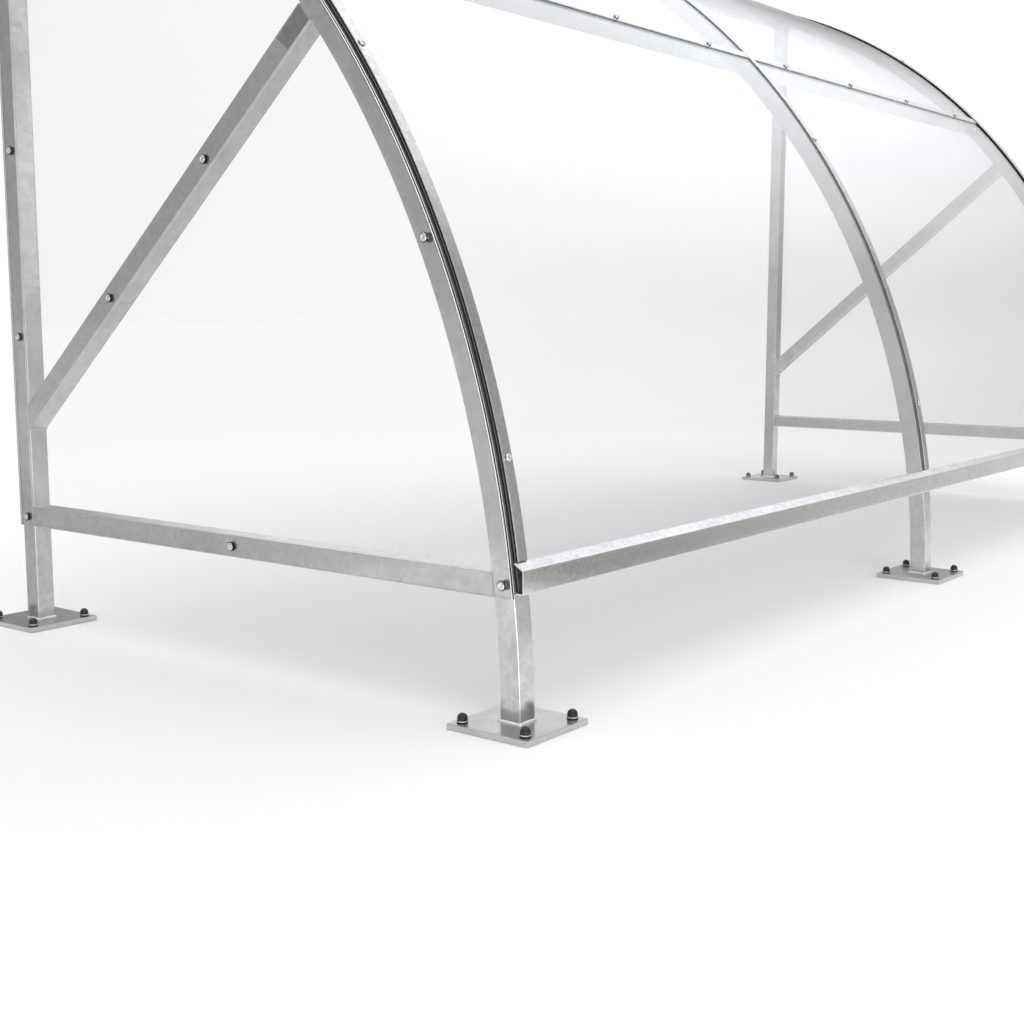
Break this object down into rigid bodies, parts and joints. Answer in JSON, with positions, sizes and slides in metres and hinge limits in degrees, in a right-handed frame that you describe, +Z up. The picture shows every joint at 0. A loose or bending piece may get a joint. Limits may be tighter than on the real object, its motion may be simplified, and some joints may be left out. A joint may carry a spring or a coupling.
{
  "type": "arched canopy shelter",
  "caption": "Open-fronted shelter: curved square-tube frames on bolted foot plates carry clear curved sheets and clear end walls, to keep rain off parked bicycles.",
  "frame": {"origin": "centre of the plan box at ground level, in the plane of the foot plates' undersides", "axes": "+X along the length, to the right seen from the open front; +Y from the open front to the rear, where the curved frames' feet stand; +Z up"},
  "size_m": [4.72, 2.0806, 2.4648],
  "materials": {
    "frame_steel": "hot-dip galvanised, matt with cloudy spangle",
    "plate_steel": "hot-dip galvanised plate, matt with cloudy spangle",
    "bent_steel": "galvanised sheet, satin with fine spangle",
    "clear_sheet": "clear, gloss",
    "rubber": "black, matt"
  },
  "bodies": {
    "root": {"arch_right": "frame_steel", "arch_mid": "frame_steel", "arch_left": "frame_steel", "rear_plate_right": "plate_steel", "rear_plate_mid": "plate_steel", "rear_plate_left": "plate_steel", "post_right": "frame_steel", "post_left": "frame_steel", "front_plate_right": "plate_steel", "front_plate_left": "plate_steel", "brace_right": "frame_steel", "brace_left": "frame_steel", "end_rail_right": "frame_steel", "end_rail_left": "frame_steel", "front_beam_right": "frame_steel", "front_beam_left": "frame_steel", "purlin_right": "frame_steel", "purlin_left": "frame_steel", "rear_rail_right": "bent_steel", "rear_rail_left": "bent_steel", "front_trim_right": "bent_steel", "front_trim_left": "bent_steel", "lower_sheet_right": "clear_sheet", "lower_sheet_left": "clear_sheet", "upper_sheet_right": "clear_sheet", "upper_sheet_left": "clear_sheet", "end_panel_right": "clear_sheet", "end_panel_left": "clear_sheet", "end_gasket_right": "rubber", "end_gasket_left": "rubber", "end_packing_right": "frame_steel", "end_packing_left": "frame_steel", "arch_gasket_right": "rubber", "arch_gasket_mid": "rubber", "arch_gasket_left": "rubber", "cover_gasket_right": "rubber", "cover_gasket_mid": "rubber", "cover_gasket_left": "rubber", "cover_strip_right": "bent_steel", "cover_strip_mid": "bent_steel", "cover_strip_left": "bent_steel", "joint_gasket_right": "rubber", "joint_gasket_left": "rubber", "joint_strip_right": "bent_steel", "joint_strip_left": "bent_steel"}
  },
  "joints": []
}
